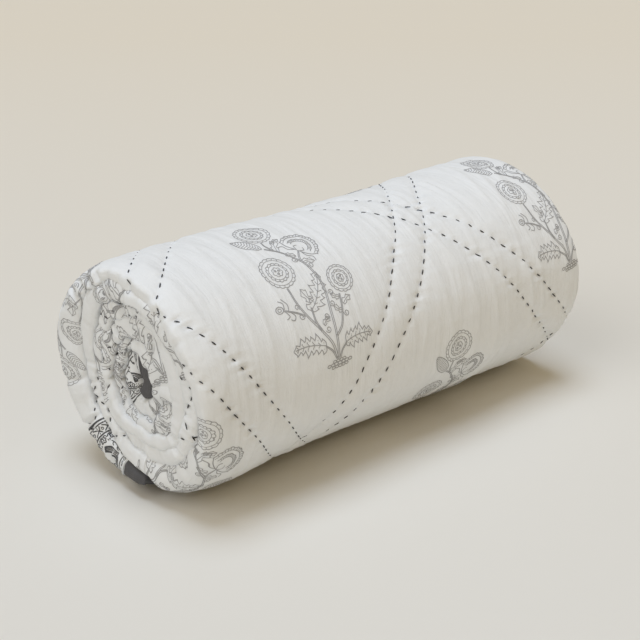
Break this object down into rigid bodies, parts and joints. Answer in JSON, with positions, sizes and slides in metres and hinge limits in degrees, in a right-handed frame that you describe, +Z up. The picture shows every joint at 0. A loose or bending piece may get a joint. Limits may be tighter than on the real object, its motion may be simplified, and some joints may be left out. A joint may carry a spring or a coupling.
{
  "type": "rolled block-printed quilt",
  "caption": "Large quilted cotton bedcover, folded lengthwise and rolled up, lying on its side with its loose end underneath.",
  "frame": {"origin": "on the surface that the roll lies on, under the middle of its bounding box", "axes": "+X along the roll, from the near open end to the far one; +Z up; -Y towards the front, where the roll's side is in view"},
  "size_m": [0.5698, 0.275, 0.2531],
  "materials": {
    "printed_cotton": "soft washed off-white cotton with grey block-printed flower sprays and dark running stitch",
    "charcoal_binding": "plain woven charcoal cotton binding"
  },
  "bodies": {
    "root": {"quilt_roll": "printed_cotton", "binding_tail": "charcoal_binding", "binding_core": "charcoal_binding"}
  },
  "joints": []
}
